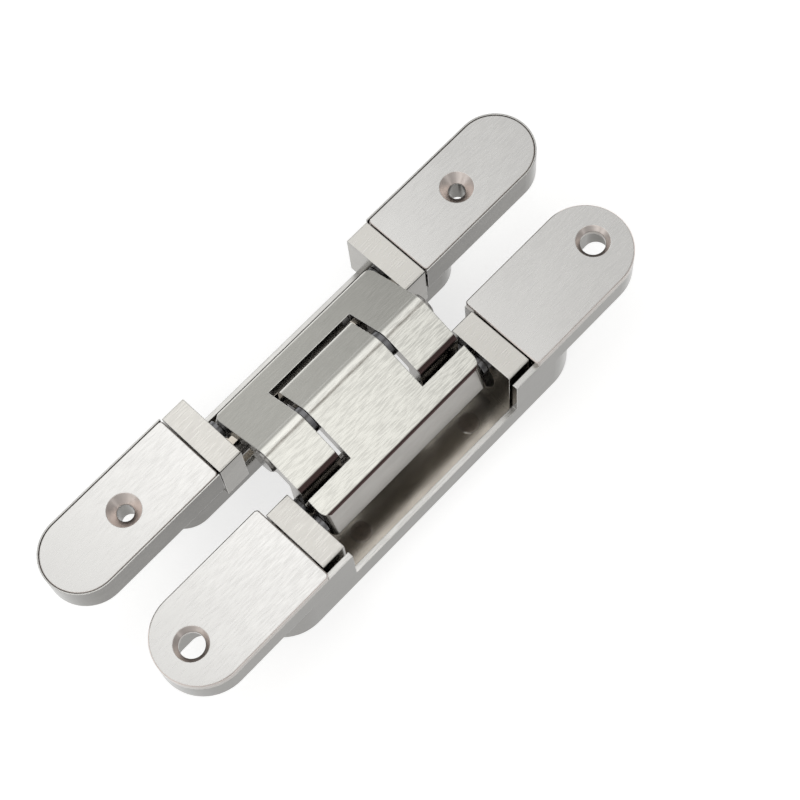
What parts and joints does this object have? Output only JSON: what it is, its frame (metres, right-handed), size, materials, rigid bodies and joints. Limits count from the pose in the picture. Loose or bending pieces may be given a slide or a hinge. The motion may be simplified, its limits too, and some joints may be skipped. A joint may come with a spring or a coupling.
{
  "type": "concealed door hinge",
  "caption": "Concealed door hinge: two mortised housings joined by a forked and a tee arm that cross on a centre pin and fold inside.",
  "frame": {"origin": "centre of the ground plan, level with the backs of the two housings, hinge open at 180 degrees", "axes": "+X from housing A to housing B, +Y along the housings towards the upper end, +Z from the backs to the cover plates"},
  "size_m": [0.0714, 0.2036, 0.041],
  "materials": {
    "housing": "satin nickel",
    "cover_plate": "brushed satin nickel",
    "end_block": "satin nickel",
    "arm": "brushed satin nickel",
    "pin": "ground steel",
    "washer": "plain",
    "clamp_screw": "plain"
  },
  "bodies": {
    "frame_side": {"housing_a": "housing", "cover_plate_a_upper": "cover_plate", "cover_plate_a_lower": "cover_plate", "end_block_a_upper": "end_block", "end_block_a_lower": "end_block", "clamp_screw_a_upper": "clamp_screw", "clamp_screw_a_lower": "clamp_screw", "pivot_pin_a": "pin"},
    "tee_lever": {"t_arm": "arm", "slide_pin_b": "pin", "slide_collar_b_upper": "washer", "slide_collar_b_lower": "washer", "slide_roller_b_upper": "pin", "slide_roller_b_lower": "pin"},
    "forked_lever": {"u_arm": "arm", "slide_pin_a": "pin", "centre_pin": "pin", "slide_collar_a_upper": "washer", "slide_collar_a_lower": "washer", "slide_roller_a_upper": "pin", "slide_roller_a_lower": "pin", "centre_washer_upper": "washer", "centre_washer_lower": "washer"},
    "carrier_b": {"end_block_b_upper": "end_block", "end_block_b_lower": "end_block", "pivot_pin_b": "pin", "pivot_washer_b_upper": "washer", "pivot_washer_b_lower": "washer"},
    "door_side": {"housing_b": "housing", "cover_plate_b_upper": "cover_plate", "cover_plate_b_lower": "cover_plate", "clamp_screw_b_upper": "clamp_screw", "clamp_screw_b_lower": "clamp_screw"}
  },
  "joints": [
    {"name": "t_arm_pivot", "type": "hinge", "parent": "frame_side", "child": "tee_lever", "pos_m": [-0.0144, 0, 0.021], "axis": [0, -1, 0], "range_deg": [0, 98.62]},
    {"name": "arm_scissor", "type": "hinge", "parent": "tee_lever", "child": "forked_lever", "pos_m": [-0.001, 0, 0.036], "axis": [0, -1, 0], "range_deg": [-17.25, 0]},
    {"name": "u_arm_pivot", "type": "hinge", "parent": "forked_lever", "child": "carrier_b", "pos_m": [0.0124, 0, 0.021], "axis": [0, -1, 0], "range_deg": [0, 98.63]},
    {"name": "b_side_adjust", "type": "slide", "parent": "carrier_b", "child": "door_side", "axis": [1, 0, 0], "range_m": [-0.001, 0.001]}
  ],
  "couplings": [
    {"joint": "arm_scissor", "follows": "t_arm_pivot", "ratio": -0.17484},
    {"joint": "u_arm_pivot", "follows": "t_arm_pivot", "ratio": 1}
  ]
}
